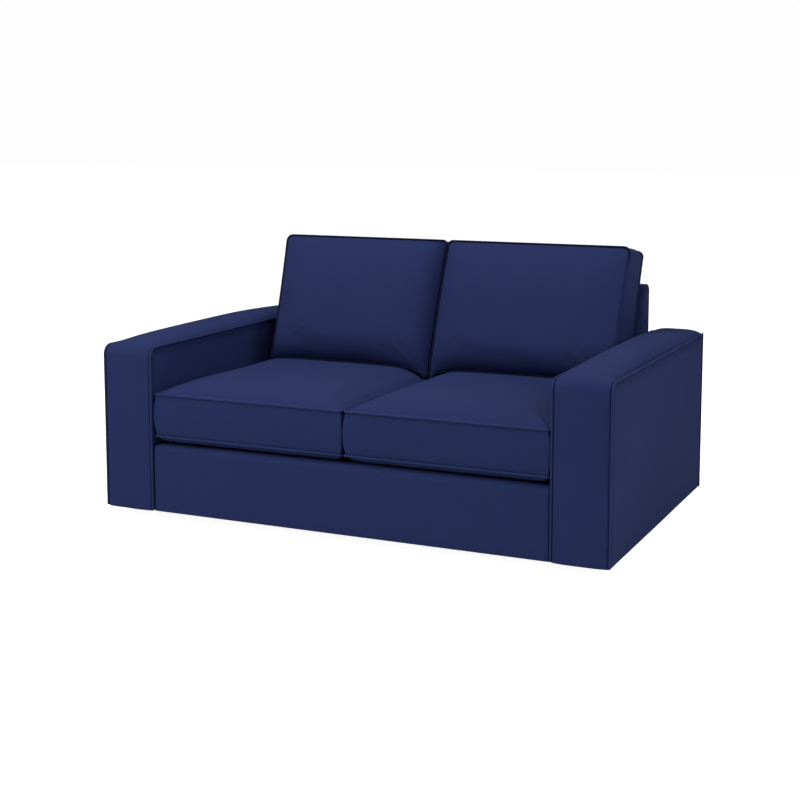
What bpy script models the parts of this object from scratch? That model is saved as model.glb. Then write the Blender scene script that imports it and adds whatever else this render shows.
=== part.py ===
"""Fitted cover set of a two-seat sofa, in the shape it takes on its frame.

x runs across, y runs back from the arm fronts and z runs up from the hem. Left is -x. Everything is
modelled in that hem frame, under one empty that puts the underside of the back's top at the origin.
"""

import math

import bmesh
import bpy
from mathutils import Vector

# ---- driving dimensions, in metres
WIDTH = 1.66  # over both arms
DEPTH = 1.04  # arm fronts to the arms' rear ends
ARM_WIDTH = 0.177
ARM_HEIGHT = 0.516  # hem to the seams along the arm tops
ARM_CORNER = 0.030  # radius where the arm strip turns from front to top
BASE_HEIGHT = 0.2125  # crest of the front panel
BASE_SETBACK = 0.006  # front panel behind the arm fronts
BASE_CORNER = 0.020
BASE_CREST_BACK = 0.055  # where the crest has run down to the seat platform
BASE_TURNBACK = 0.110  # how far back the front panel's top edge reaches over the platform
DECK_HEIGHT = 0.2085  # underside of the seat platform's cloth
DECK_TUCK = 0.012  # how far it runs in under the inside back
BACK_HEIGHT = 0.680
BACK_FOOT_Y = 0.775  # where the inside back would meet the deck's underside
BACK_TOP_Y = 0.955  # where its slope would reach the back's full height
BACK_REAR_Y = 1.005  # the outside back, a little in from the arms' rear ends
BACK_CORNER = 0.025  # radius of the back's two top edges
BACK_SEAM_DROP = 0.040  # the top panel's seams below the crest
BACK_FOOT_GAP = 0.0015  # the inside back's lower edge above the deck

CLOTH = 0.002  # upholstery cloth with its backing
PIPING = 0.0035  # radius of the self piping
GAP = 0.0004  # left between pieces that touch
SIDE_GAP = 0.0015  # cushions and base to the arms and to each other

ARM_FRONT_CROWN = 0.005  # swell of an arm front between its seams
ARM_REAR_CROWN = 0.012  # rise of an arm top between its seams at the rear end; SIDES adds to it midway
PANEL_SWELL = 0.004  # swell of an outer side panel
BASE_SWELL = 0.003

SEAT_FRONT_Y = 0.014
SEAT_DEPTH = 0.7345
SEAT_TOP_SEAM = 0.3665
SEAT_BOTTOM_SEAM = 0.2405
SEAT_CROWN = 0.044
SEAT_SINK = 0.010  # how much lower the top is at the rear, where the back cushions press on it
SEAT_DROP = 0.0275  # how far the bottom panel swells below its seam
SEAT_CORNER = 0.006
SEAT_SWELL = 0.0072  # swell of the boxing between its seams

# y and z of the back cushions' four seam lines
CUSHION_FRONT_BOTTOM = (0.624, 0.395)
CUSHION_FRONT_TOP = (0.8205, 0.8120)
CUSHION_REAR_BOTTOM = (0.830, 0.398)
CUSHION_REAR_TOP = (0.970, 0.786)
CUSHION_CROWN = 0.030
CUSHION_REAR_CROWN = 0.008
CUSHION_CORNER = 0.022
CUSHION_SWELL = 0.003
CUSHION_WAIST = 0.003  # how far the outer ends draw in at mid height
CUSHION_REST = 0.0115  # lower seams above the seat cushions' crown, room for the piping

# How a cushion's panel fills from its seam to its middle.
# scale: size of the ring against the seam; crown, drop: share of the full swell, on top and underneath
PANEL_RINGS = (
    {"scale": 0.95, "crown": 0.38, "drop": 0.62},
    {"scale": 0.85, "crown": 0.70, "drop": 0.92},
    {"scale": 0.65, "crown": 0.92, "drop": 1.0},
    {"scale": 0.35, "crown": 0.99, "drop": 1.0},
)
PANEL_MIDDLE = {"scale": 0.0, "crown": 1.0, "drop": 1.0}

# side: -1 left, 1 right; inner, top, bottom: how far the cushion's edges lie from the middle, in metres
BACK_CUSHIONS = (
    {"name": "left", "side": -1, "inner": 0.0075, "top": 0.6160, "bottom": 0.5790},
    {"name": "right", "side": 1, "inner": 0.0075, "top": 0.6360, "bottom": 0.6380},
)
# arm_bulge: how much more the arm's top rises midway than at its ends
SIDES = (
    {"name": "left", "side": -1, "arm_bulge": 0.016},
    {"name": "right", "side": 1, "arm_bulge": 0.022},
)

# ---- places worked out from them
ARM_MIDDLE_X = WIDTH / 2 - ARM_WIDTH / 2
INNER_X = WIDTH / 2 - ARM_WIDTH
ARM_REAR_Y = DEPTH - CLOTH - GAP
PANEL_INSET = PIPING + GAP  # a panel's edge to the centre line of its piping
STRIP_HALF = ARM_WIDTH / 2 - PIPING - PANEL_INSET - CLOTH / 2  # its edge slopes down to the seam
BACK_HALF_X = INNER_X - SIDE_GAP
BACK_LEAN = math.atan2(BACK_TOP_Y - BACK_FOOT_Y, BACK_HEIGHT - DECK_HEIGHT)
BACK_ARC_Z = BACK_HEIGHT - CLOTH / 2 - BACK_CORNER
BACK_UNDERSIDE_Z = BACK_HEIGHT - CLOTH
DECK_MIDDLE_Z = DECK_HEIGHT + CLOTH / 2


def clear_scene():
    for thing in list(bpy.data.objects):
        bpy.data.objects.remove(thing, do_unlink=True)


def cloth_material(name, colour):
    material = bpy.data.materials.new(name)
    material.use_nodes = True
    shader = material.node_tree.nodes["Principled BSDF"]
    shader.inputs["Base Color"].default_value = (*colour, 1.0)
    shader.inputs["Roughness"].default_value = 0.9
    shader.inputs["Metallic"].default_value = 0.0
    return material


def add_object(name, data, parent, material, location=(0, 0, 0)):
    thing = bpy.data.objects.new(name, data)
    bpy.context.collection.objects.link(thing)
    thing.parent = parent
    thing.location = location
    data.materials.append(material)
    return thing


# ---- paths and sheets


def steps(start, end, count):
    return [start + (end - start) * i / count for i in range(count + 1)]


def hump(share):
    """1 in the middle of a span and 0 at its ends."""
    return 1 - (2 * share - 1) ** 2


def arc(centre, radius, start_deg, end_deg, count):
    angles = [math.radians(a) for a in steps(start_deg, end_deg, count)]
    return [(centre[0] + radius * math.cos(a), centre[1] + radius * math.sin(a)) for a in angles]


def path_normals(path):
    """Unit normals to the left of a path in the y-z plane."""
    normals = []
    for i in range(len(path)):
        before = Vector(path[max(i - 1, 0)])
        after = Vector(path[min(i + 1, len(path) - 1)])
        along = (after - before).normalized()
        normals.append(Vector((-along.y, along.x)))
    return normals


def sheet(name, rows, parent, material, location=(0, 0, 0)):
    """A cloth sheet through a grid of points on its middle surface, given row by row."""
    mesh = bpy.data.meshes.new(name)
    bm = bmesh.new()
    grid = [[bm.verts.new(point) for point in row] for row in rows]
    for lower, upper in zip(grid, grid[1:]):
        for a, b, c, d in zip(lower, lower[1:], upper[1:], upper):
            bm.faces.new((a, b, c, d))
    bm.to_mesh(mesh)
    bm.free()
    thing = add_object(name, mesh, parent, material, location)
    wall = thing.modifiers.new("cloth", "SOLIDIFY")
    wall.thickness = CLOTH
    wall.offset = 0.0
    wall.use_even_offset = True


def piping(name, points, closed, parent, material, location=(0, 0, 0)):
    curve = bpy.data.curves.new(name, "CURVE")
    curve.dimensions = "3D"
    curve.bevel_depth = PIPING
    curve.bevel_resolution = 2
    curve.use_fill_caps = not closed
    line = curve.splines.new("POLY")
    line.points.add(len(points) - 1)
    for point, place in zip(line.points, points):
        point.co = (*place, 1.0)
    line.use_cyclic_u = closed
    add_object(name, curve, parent, material, location)


# ---- arm covers


def arm_seam_path(inset):
    """The seam in the y-z plane: up the front from the hem, then round the corner and back."""
    radius = ARM_CORNER - inset
    front = PIPING + inset
    top = ARM_HEIGHT - inset
    up_front = [(front, z) for z in steps(0.0, top - radius, 4)]
    corner = arc((front + radius, top - radius), radius, 180, 90, 4)
    along_top = [(y, top) for y in steps(front + radius, ARM_REAR_Y, 6)]
    return up_front, corner[1:-1] + along_top


def arm_fullness(along):
    """1 midway along an arm's top: it fills quickly behind the front corner and falls slowly to the rear."""
    return 1 - abs(2 * along - 1) ** (5.0 if along < 0.5 else 2.3)


def arm_crown(y, x, bulge):
    """How far the strip swells out at y and at x from the arm's middle."""
    along = (y - PIPING) / (ARM_REAR_Y - PIPING)
    full = ARM_FRONT_CROWN + (ARM_REAR_CROWN - ARM_FRONT_CROWN) * along + bulge * arm_fullness(along)
    return full * max(1 - (x / STRIP_HALF) ** 4, 0.0)


def arm_strip(name, bulge, parent, material, location):
    up_front, over_top = arm_seam_path(0.0)
    path = up_front + over_top
    rows = []
    for (y, z), normal in zip(path, path_normals(path)):
        row = []
        for x in steps(-STRIP_HALF, STRIP_HALF, 8):
            swell = arm_crown(y, x, bulge)
            row.append((x, y + normal.x * swell, z + normal.y * swell))
        rows.append(row)
    sheet(name, rows, parent, material, location)


def arm_panel(name, x, swell, parent, material, location):
    """An outer or inner side panel: swell is signed, and goes out along x."""
    up_front, over_top = arm_seam_path(PANEL_INSET)
    columns = []
    for y, z_top in (up_front[-1], *over_top):
        out = swell * hump(y / ARM_REAR_Y)
        columns.append([(x + out * hump(share), y, z_top * share) for share in steps(0.0, 1.0, 5)])
    sheet(name, columns, parent, material, location)


def arm_rear(name, bulge, parent, material, location):
    """The panel that closes an arm at the back; its top edge follows the strip's crown."""
    half = ARM_WIDTH / 2 - GAP
    y = DEPTH - CLOTH / 2
    columns = []
    for x in steps(-half, half, 8):
        top = ARM_HEIGHT + arm_crown(ARM_REAR_Y, x, bulge) + CLOTH / 2
        columns.append([(x, y, z) for z in steps(0.0, top, 3)])
    sheet(name, columns, parent, material, location)


def arm_cover(row, parent, materials):
    side = row["side"]
    place = (side * ARM_MIDDLE_X, 0, 0)
    up_front, over_top = arm_seam_path(0.0)
    arm_strip(f"arm_strip_{row['name']}", row["arm_bulge"], parent, materials["cover"], place)
    arm_rear(f"arm_rear_{row['name']}", row["arm_bulge"], parent, materials["cover"], place)
    for face, out, swell in (("outer", side, PANEL_SWELL), ("inner", -side, 0.0)):
        x = out * (ARM_WIDTH / 2 - PIPING)
        name = f"arm_{face}_{row['name']}"
        arm_panel(name, x, out * swell, parent, materials["cover"], place)
        seam = [(x, y, z) for y, z in up_front + over_top]
        piping(f"arm_piping_{face}_{row['name']}", seam, False, parent, materials["piping"], place)


# ---- front panel, seat platform and back


def cross_sheet(name, path, parent, material, swell=0.0):
    """A sheet between the arms that follows a y-z path and swells out most at half its height."""
    rows = []
    upright = max(z for _, z in path)
    for (y, z), normal in zip(path, path_normals(path)):
        row = []
        for x in steps(-BACK_HALF_X, BACK_HALF_X, 6):
            out = swell * hump(z / upright) * hump((x / BACK_HALF_X + 1) / 2)
            row.append((x, y + normal.x * out, z + normal.y * out))
        rows.append(row)
    sheet(name, rows, parent, material)


def base_front(parent, material):
    y = BASE_SETBACK + CLOTH / 2
    top = BASE_HEIGHT - CLOTH / 2
    path = [(y, z) for z in steps(0.0, top - BASE_CORNER, 3)]
    path += arc((y + BASE_CORNER, top - BASE_CORNER), BASE_CORNER, 180, 90, 4)[1:]
    path += [(BASE_CREST_BACK, DECK_MIDDLE_Z), (BASE_TURNBACK, DECK_MIDDLE_Z)]
    cross_sheet("base_front", path, parent, material, BASE_SWELL)


def seat_deck(parent, material):
    deck_ys = steps(BASE_TURNBACK + GAP, BACK_FOOT_Y + DECK_TUCK, 1)
    cross_sheet("seat_deck", [(y, DECK_MIDDLE_Z) for y in deck_ys], parent, material)


def back_slope(z, inset=0.0):
    """y of the inside back's middle surface at height z, or of a surface inset behind it."""
    return BACK_FOOT_Y + (z - DECK_HEIGHT) * math.tan(BACK_LEAN) + inset / math.cos(BACK_LEAN)


def back_top_arcs(inset):
    """The back's front and rear top edges in the y-z plane, moved in from the cloth's middle."""
    front_centre = (back_slope(BACK_ARC_Z, BACK_CORNER), BACK_ARC_Z)
    rear_centre = (BACK_REAR_Y - CLOTH / 2 - BACK_CORNER, BACK_ARC_Z)
    radius = BACK_CORNER - inset
    front = arc(front_centre, radius, 180 - math.degrees(BACK_LEAN), 90, 4)
    rear = arc(rear_centre, radius, 90, 0, 4)
    return front, rear


def back_cover(parent, material):
    rear_y = BACK_REAR_Y - CLOTH / 2
    seam_z = BACK_HEIGHT - BACK_SEAM_DROP
    top_edge_z = seam_z + 2 * GAP
    foot_z = DECK_MIDDLE_Z + CLOTH / 2 + BACK_FOOT_GAP
    inside = [(back_slope(z), z) for z in steps(foot_z, seam_z, 4)]
    cross_sheet("back_inside", inside, parent, material)

    front, rear = back_top_arcs(0.0)
    over = [(back_slope(top_edge_z), top_edge_z), *front, *rear, (rear_y, top_edge_z)]
    cross_sheet("back_top", over, parent, material)

    outside = [(rear_y, z) for z in steps(seam_z, 0.0, 4)]
    cross_sheet("back_outside", outside, parent, material)
    for row in SIDES:
        back_end(row, foot_z, parent, material)


def back_end(row, foot_z, parent, material):
    """An end panel of the back, inside the edges of the sheets that run across it."""
    inset = CLOTH / 2 + 2 * GAP
    x = row["side"] * (BACK_HALF_X - CLOTH / 2)
    front, rear = back_top_arcs(inset)
    slope_zs = steps(foot_z, front[0][1], 2)[:-1]
    front_edge = [(back_slope(z, inset), z) for z in slope_zs] + front
    rear_edge = [(rear[-1][0], z) for z in steps(foot_z, rear[-1][1], 2)[:-1]] + rear[::-1]
    columns = []
    for ends in zip(front_edge, rear_edge):
        start, end = Vector(ends[0]), Vector(ends[1])
        columns.append([(x, *start.lerp(end, share)) for share in steps(0.0, 1.0, 2)])
    sheet(f"back_end_{row['name']}", columns, parent, material)


# ---- cushions


def side_points(start, end, count):
    """Points between two corners, closer together towards the corners, without the end points."""
    start, end = Vector(start), Vector(end)
    shares = [(1 - math.cos(math.pi * i / count)) / 2 for i in range(1, count)]
    return [tuple(start.lerp(end, share)) for share in shares]


def rounded_loop(half_x, half_y, radius):
    """Points round a rectangle with rounded corners, anticlockwise."""
    corners = []
    for turn, (sign_x, sign_y) in enumerate(((1, 1), (-1, 1), (-1, -1), (1, -1))):
        centre = (sign_x * (half_x - radius), sign_y * (half_y - radius))
        corners.append(arc(centre, radius, 90 * turn, 90 * turn + 90, 3))
    loop = []
    for corner, following in zip(corners, corners[1:] + corners[:1]):
        loop += corner + side_points(corner[-1], following[0], 5)
    return loop


def join_rings(bm, lower, upper):
    for i in range(len(lower)):
        j = (i + 1) % len(lower)
        bm.faces.new((lower[i], lower[j], upper[j], upper[i]))


def cushion_panel(bm, loop, place, seam, level, height, column):
    """The crowned panel inside a seam; height is signed, and column is its share in PANEL_RINGS."""
    outer = seam
    for row in PANEL_RINGS:
        out = height * row[column]
        inner = [bm.verts.new(place(a * row["scale"], b * row["scale"], level, out)) for a, b in loop]
        join_rings(bm, outer, inner)
        outer = inner
    middle = bm.verts.new(place(0.0, 0.0, level, height * PANEL_MIDDLE[column]))
    for start, end in zip(outer, outer[1:] + outer[:1]):
        bm.faces.new((start, end, middle))


def boxed_cushion(name, loop, place, swell, crown, drop, parent, material):
    """A filled cushion: two panels sewn to a boxing. Returns the piping lines of both seams.

    place(a, b, level, out) puts a point: a and b lie in the panel, level runs from 0 at the first seam
    to 1 at the second, and out is how far it stands out of the panel.
    """
    mesh = bpy.data.meshes.new(name)
    bm = bmesh.new()
    half_a = max(a for a, _ in loop)
    half_b = max(b for _, b in loop)
    walls = []
    for level in steps(0.0, 1.0, 3):
        wall = []
        wider, deeper = 1 + swell * hump(level) / half_a, 1 + swell * hump(level) / half_b
        for a, b in loop:
            wall.append(bm.verts.new(place(a * wider, b * deeper, level, 0.0)))
        walls.append(wall)
    for lower, upper in zip(walls, walls[1:]):
        join_rings(bm, lower, upper)
    cushion_panel(bm, loop, place, walls[0], 0.0, -drop, "drop")
    cushion_panel(bm, loop, place, walls[-1], 1.0, crown, "crown")
    bmesh.ops.recalc_face_normals(bm, faces=bm.faces)
    bm.normal_update()
    stand_off = PIPING + 2 * GAP
    lines = [[tuple(v.co + v.normal * stand_off) for v in seam] for seam in (walls[0], walls[-1])]
    bm.to_mesh(mesh)
    bm.free()
    mesh.shade_smooth()
    add_object(name, mesh, parent, material)
    return lines


def seat_shape():
    """Middle and half sizes of a seat cushion's seam loop, for the side with positive x."""
    clear = SIDE_GAP / 2 + 2 * PIPING + GAP
    half_x = (INNER_X - SIDE_GAP / 2) / 2 - clear
    return INNER_X / 2, SEAT_FRONT_Y + SEAT_DEPTH / 2, half_x, SEAT_DEPTH / 2


def seat_sink(y):
    """How far the seat cushions' top lies lower at y than it would on a level cushion."""
    return SEAT_SINK * min((y - SEAT_FRONT_Y) / SEAT_DEPTH, 1.0) ** 2


def seat_crown_at(x, y):
    """Height of the seat cushions' top at a point, a little on the high side."""
    middle_x, middle_y, half_x, half_y = seat_shape()
    scale = min(max(abs(abs(x) - middle_x) / half_x, abs(y - middle_y) / half_y), 1.0)
    rings = [{"scale": 1.0, "crown": 0.0}, *PANEL_RINGS, PANEL_MIDDLE]
    for outer, inner in zip(rings, rings[1:]):
        if scale >= inner["scale"]:
            share = (outer["scale"] - scale) / (outer["scale"] - inner["scale"])
            crown = outer["crown"] + (inner["crown"] - outer["crown"]) * share
            return SEAT_TOP_SEAM + SEAT_CROWN * crown - seat_sink(y)


def seat_cushion(row, parent, materials):
    middle_x, middle_y, half_x, half_y = seat_shape()
    centre_x = row["side"] * middle_x
    height = SEAT_TOP_SEAM - SEAT_BOTTOM_SEAM

    def place(a, b, level, out):
        y = middle_y + b
        return (centre_x + a, y, SEAT_BOTTOM_SEAM + (height - seat_sink(y)) * level + out)

    name = f"seat_cushion_{row['name']}"
    loop = rounded_loop(half_x, half_y, SEAT_CORNER)
    bottom, top = boxed_cushion(
        name, loop, place, SEAT_SWELL, SEAT_CROWN, SEAT_DROP, parent, materials["cushion"]
    )
    piping(f"seat_piping_top_{row['name']}", top, True, parent, materials["piping"])
    piping(f"seat_piping_bottom_{row['name']}", bottom, True, parent, materials["piping"])


def back_cushion(row, parent, materials):
    """A back cushion leans on the inside back and sits on the seat cushion's crown."""
    front_bottom, front_top = Vector(CUSHION_FRONT_BOTTOM), Vector(CUSHION_FRONT_TOP)
    rear_bottom, rear_top = Vector(CUSHION_REAR_BOTTOM), Vector(CUSHION_REAR_TOP)
    height = (front_top - front_bottom).length
    along = (front_top - front_bottom).normalized()
    forward = Vector((-along.y, along.x))
    half_b = height / 2
    half_a = (row["top"] - row["inner"]) / 2

    def place(a, b, level, out):
        up = (b + half_b) / height
        across = (a + half_a) / (2 * half_a)
        outer = row["bottom"] + (row["top"] - row["bottom"]) * up - CUSHION_WAIST * hump(up)
        x = row["inner"] + (outer - row["inner"]) * across
        spot = rear_bottom.lerp(rear_top, up).lerp(front_bottom.lerp(front_top, up), level)
        spot += forward * out
        lift = max(seat_crown_at(x, front_bottom.x) + CUSHION_REST - front_bottom.y, 0.0)
        return (row["side"] * x, spot.x, spot.y + lift * (1 - min(up, 1.0)) ** 2)

    name = f"back_cushion_{row['name']}"
    loop = rounded_loop(half_a, half_b, CUSHION_CORNER)
    rear, front = boxed_cushion(
        name, loop, place, CUSHION_SWELL, CUSHION_CROWN, CUSHION_REAR_CROWN, parent, materials["cushion"]
    )
    piping(f"back_piping_front_{row['name']}", front, True, parent, materials["piping"])
    piping(f"back_piping_rear_{row['name']}", rear, True, parent, materials["piping"])


def main():
    clear_scene()
    top_front, top_rear = back_top_arcs(0.0)
    top_middle_y = (top_front[-1][0] + top_rear[0][0]) / 2
    origin = bpy.data.objects.new("cover_hem_frame", None)
    bpy.context.collection.objects.link(origin)
    origin.location = (0, -top_middle_y, -BACK_UNDERSIDE_Z)
    materials = {
        "cover": cloth_material("navy_cover_cloth", (0.022, 0.030, 0.105)),
        "cushion": cloth_material("navy_cushion_cloth", (0.024, 0.032, 0.110)),
        "piping": cloth_material("navy_piping", (0.020, 0.027, 0.095)),
    }
    for row in SIDES:
        arm_cover(row, origin, materials)
        seat_cushion(row, origin, materials)
    for row in BACK_CUSHIONS:
        back_cushion(row, origin, materials)
    base_front(origin, materials["cover"])
    seat_deck(origin, materials["cover"])
    back_cover(origin, materials["cover"])
    bpy.context.view_layer.update()


main()
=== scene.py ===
import math

import bmesh
import bpy
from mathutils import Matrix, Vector, noise


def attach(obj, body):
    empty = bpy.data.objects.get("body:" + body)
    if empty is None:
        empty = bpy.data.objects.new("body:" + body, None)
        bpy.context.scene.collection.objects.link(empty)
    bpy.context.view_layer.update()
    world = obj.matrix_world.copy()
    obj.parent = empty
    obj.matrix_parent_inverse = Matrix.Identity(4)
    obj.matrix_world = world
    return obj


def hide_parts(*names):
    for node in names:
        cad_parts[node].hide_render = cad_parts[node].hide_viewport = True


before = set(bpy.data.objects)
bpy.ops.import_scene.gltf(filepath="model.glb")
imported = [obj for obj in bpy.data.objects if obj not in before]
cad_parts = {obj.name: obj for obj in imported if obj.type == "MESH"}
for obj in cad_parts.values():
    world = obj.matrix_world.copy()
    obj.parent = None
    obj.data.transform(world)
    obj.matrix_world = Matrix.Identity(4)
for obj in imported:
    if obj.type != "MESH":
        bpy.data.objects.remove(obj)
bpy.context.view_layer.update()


# ---- The studio
# A plain white paper floor that runs out into a white ground, under large soft lights. To the camera the
# paper glows, as a floor lit from below does, so it shows no shadow. The camera stands to the right, 1.25 m
# above the floor, with its lens shifted a little so that uprights hardly converge.
FLOOR_Z = -0.712
CAMERA_PLACE = (1.9350, -4.7434, 0.5360)
CAMERA_TURN = 24.73
CAMERA_DOWN = 7.10
CAMERA_LENS = 66.195
CAMERA_SHIFT = -0.1188

scene = bpy.context.scene
scene.view_settings.view_transform = "Standard"

bpy.ops.object.camera_add(
    location=CAMERA_PLACE,
    rotation=(math.radians(90 - CAMERA_DOWN), 0, math.radians(CAMERA_TURN)),
)
camera = bpy.context.object
camera.data.sensor_width = 36
camera.data.lens = CAMERA_LENS
camera.data.shift_y = CAMERA_SHIFT
camera.data.clip_end = 200
scene.camera = camera


def linear(hex_colour):
    """An sRGB hex value as the linear colour that a shader takes."""
    parts = [int(hex_colour[i:i + 2], 16) / 255 for i in (1, 3, 5)]
    return tuple(p / 12.92 if p <= 0.04045 else ((p + 0.055) / 1.055) ** 2.4 for p in parts) + (1.0,)


def add_node(tree, kind, links=(), **settings):
    """Adds a node. links: what its inputs get, in order or by name: a value, a node or a node's output."""
    node = tree.nodes.new("ShaderNode" + kind)
    for name, value in settings.items():
        setattr(node, name, value)
    for name, value in links.items() if isinstance(links, dict) else enumerate(links):
        if isinstance(value, bpy.types.Node):
            value = value.outputs[0]
        if isinstance(value, bpy.types.NodeSocket):
            tree.links.new(value, node.inputs[name])
        else:
            node.inputs[name].default_value = value
    return node


bpy.ops.mesh.primitive_plane_add(size=60, location=(0, 0, FLOOR_Z))
floor = bpy.context.object
floor.name = "studio_floor"
floor_paper = bpy.data.materials.new("white_studio_paper")
floor_paper.use_nodes = True
paper = floor_paper.node_tree
paper_shader = paper.nodes["Principled BSDF"]
paper_shader.inputs["Base Color"].default_value = linear("#f2f2f2")
paper_shader.inputs["Roughness"].default_value = 0.9
paper_shader.inputs["Specular IOR Level"].default_value = 0.1
paper_shader.inputs["Emission Color"].default_value = (1.0, 1.0, 1.0, 1.0)
place = add_node(paper, "TexCoord").outputs["Object"]
from_middle = add_node(paper, "VectorMath", (place,), operation="LENGTH").outputs["Value"]
glow = add_node(paper, "MapRange", (from_middle, 2.0, 6.0, 0.95, 1.0))
first_sight = add_node(paper, "LightPath").outputs["Is Camera Ray"]
glow = add_node(paper, "Math", (glow, first_sight), operation="MULTIPLY")
paper.links.new(glow.outputs[0], paper_shader.inputs["Emission Strength"])
floor.data.materials.append(floor_paper)

world = bpy.data.worlds.new("white_ground")
scene.world = world
world.use_nodes = True
ground = world.node_tree
first_sight = add_node(ground, "LightPath").outputs["Is Camera Ray"]
white = add_node(ground, "Math", (first_sight, 0.99), operation="MULTIPLY")
ground.nodes["Background"].inputs["Color"].default_value = (1.0, 1.0, 1.0, 1.0)
ground.links.new(white.outputs[0], ground.nodes["Background"].inputs["Strength"])

# name, place, point it is aimed at, width, height, watts
SOFTBOXES = (
    ("overhead_softbox", (-0.4, -1.2, 3.0), (-0.2, -0.4, 0.0), 3.6, 2.6, 112.0),
    ("front_left_softbox", (-2.8, -4.0, 2.2), (0.0, -0.4, -0.2), 2.2, 2.0, 134.0),
    ("front_right_softbox", (3.6, -4.0, 1.2), (0.0, -0.4, -0.2), 2.2, 2.0, 42.0),
    ("right_softbox", (4.2, -0.6, 1.6), (0.0, -0.4, -0.2), 2.2, 2.0, 77.0),
    ("left_softbox", (-4.2, -1.2, 1.8), (0.0, -0.4, -0.2), 2.2, 2.0, 10.0),
    ("rear_softbox", (0.0, 2.6, 2.8), (0.0, -0.4, 0.0), 3.0, 1.6, 30.0),
)
for name, place, target, width, height, watts in SOFTBOXES:
    bpy.ops.object.light_add(type="AREA", location=place)
    softbox = bpy.context.object
    softbox.name = name
    softbox.rotation_euler = (Vector(target) - Vector(place)).to_track_quat("-Z", "Y").to_euler()
    softbox.data.shape = "RECTANGLE"
    softbox.data.size = width
    softbox.data.size_y = height
    softbox.data.energy = watts
    softbox.visible_camera = False


# ---- Arm covers
# Each arm has a sleeve of navy upholstery cloth: one long strip that runs up the front and back over the
# top, two side panels and a rear panel, sewn with piping in the long seams. The hem is turned up inside
# and stitched. Sizes below are measured from the arms' fronts (y) and from the hem (z).
FRONT_Y = -0.97542
HEM_Z = -0.678
COVER_HALF_X = 0.83
ARM_WIDTH = 0.177
ARM_MIDDLE_X = COVER_HALF_X - ARM_WIDTH / 2
ARM_HEIGHT = 0.516
ARM_DEPTH = 1.04
ARM_CORNER = 0.030
CLOTH = 0.002
PIPING = 0.0035
HEM_TURN = 0.024
HEM_STITCH = 0.018
THREAD = 0.0011
FOLD = 0.0013
EDGE_ROLL = 0.004
MESH_STEP = 0.012
NO_STITCH = 0.5
SIDES = (
    {"name": "left", "side": -1, "bulge": 0.016},
    {"name": "right", "side": 1, "bulge": 0.022},
)


def between(start, end, step):
    """Evenly spaced values from start to end, at most a step apart."""
    count = max(1, math.ceil(abs(end - start) / step - 1e-6))
    return [start + (end - start) * i / count for i in range(count + 1)]


def lines_across(start, end, step=MESH_STEP, roll=EDGE_ROLL):
    """Places of the mesh lines across a panel, close together where its edges roll into the seams."""
    rim = [0.0, 0.12 * roll, 0.4 * roll, 0.8 * roll, 1.3 * roll, 2.2 * roll]
    middle = between(start + 3.5 * roll, end - 3.5 * roll, step)
    return [start + r for r in rim] + middle + [end - r for r in rim[::-1]]


def rolled(distance, roll=EDGE_ROLL):
    """How far the cloth has turned in at a distance from its seam."""
    if distance >= roll:
        return 0.0
    return roll - math.sqrt(max(roll ** 2 - (roll - max(distance, 0.0)) ** 2, 0.0))


def hump(share):
    """1 in the middle of a span and 0 at its ends."""
    return 1 - (2 * share - 1) ** 2


def arm_fullness(share):
    """1 midway along an arm's top, which fills quickly behind the front and falls slowly to the rear."""
    return 1 - abs(2 * share - 1) ** (5.0 if share < 0.5 else 2.3)


def turned_hem():
    """From the turned-up edge down to the fold: how far inside the cloth lies, and its height."""
    low = CLOTH / 2 + FOLD
    inside = [(2 * FOLD, HEM_TURN - i * (HEM_TURN - low) / 3) for i in range(3)]
    angles = (0, math.pi / 4, math.pi / 2, 3 * math.pi / 4)
    fold = [(FOLD + FOLD * math.cos(angle), low - FOLD * math.sin(angle)) for angle in angles]
    return inside + fold + [(0.0, low)]


def uneven(x, y, seed):
    """The slight unevenness of cloth that is pulled over padding, from -1 to 1."""
    broad = noise.noise(Vector((3.1 * x, 3.1 * y, seed)))
    fine = noise.noise(Vector((9.0 * x, 9.0 * y, seed + 7.3)))
    return broad + 0.35 * fine


def cut_cloth(name, across, along):
    """A flat grid of cloth with mesh lines at these distances; its UV map is the cut, in metres."""
    bpy.ops.object.select_all(action="DESELECT")
    bpy.ops.mesh.primitive_grid_add(x_subdivisions=len(across) - 1, y_subdivisions=len(along) - 1, size=2)
    cloth = bpy.context.object
    cloth.name = cloth.data.name = name
    for vertex in cloth.data.vertices:
        i = round((vertex.co.x + 1) / 2 * (len(across) - 1))
        j = round((vertex.co.y + 1) / 2 * (len(along) - 1))
        vertex.co = (across[i], along[j], 0.0)
    uv = cloth.data.uv_layers.active.data
    for loop in cloth.data.loops:
        uv[loop.index].uv = cloth.data.vertices[loop.vertex_index].co.xy
    return cloth


def note_points(mesh, name, values):
    """Keeps one number for each point of a mesh, for its material."""
    mesh.attributes.new(name, "FLOAT", "POINT").data.foreach_set("value", values)


def lay_cloth(cloth, place):
    """Puts each point of a cut at place(u, v, row): its spot, its seam's distance and its stitch line's."""
    columns = round(sum(v.co.y == cloth.data.vertices[0].co.y for v in cloth.data.vertices))
    laid = [place(v.co.x, v.co.y, v.index // columns) for v in cloth.data.vertices]
    for vertex, (spot, _, _) in zip(cloth.data.vertices, laid):
        vertex.co = Vector(spot) + Vector((0.0, FRONT_Y, HEM_Z))
    note_points(cloth.data, "seam", [to_seam for _, to_seam, _ in laid])
    note_points(cloth.data, "stitch", [to_stitch for _, _, to_stitch in laid])


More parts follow.
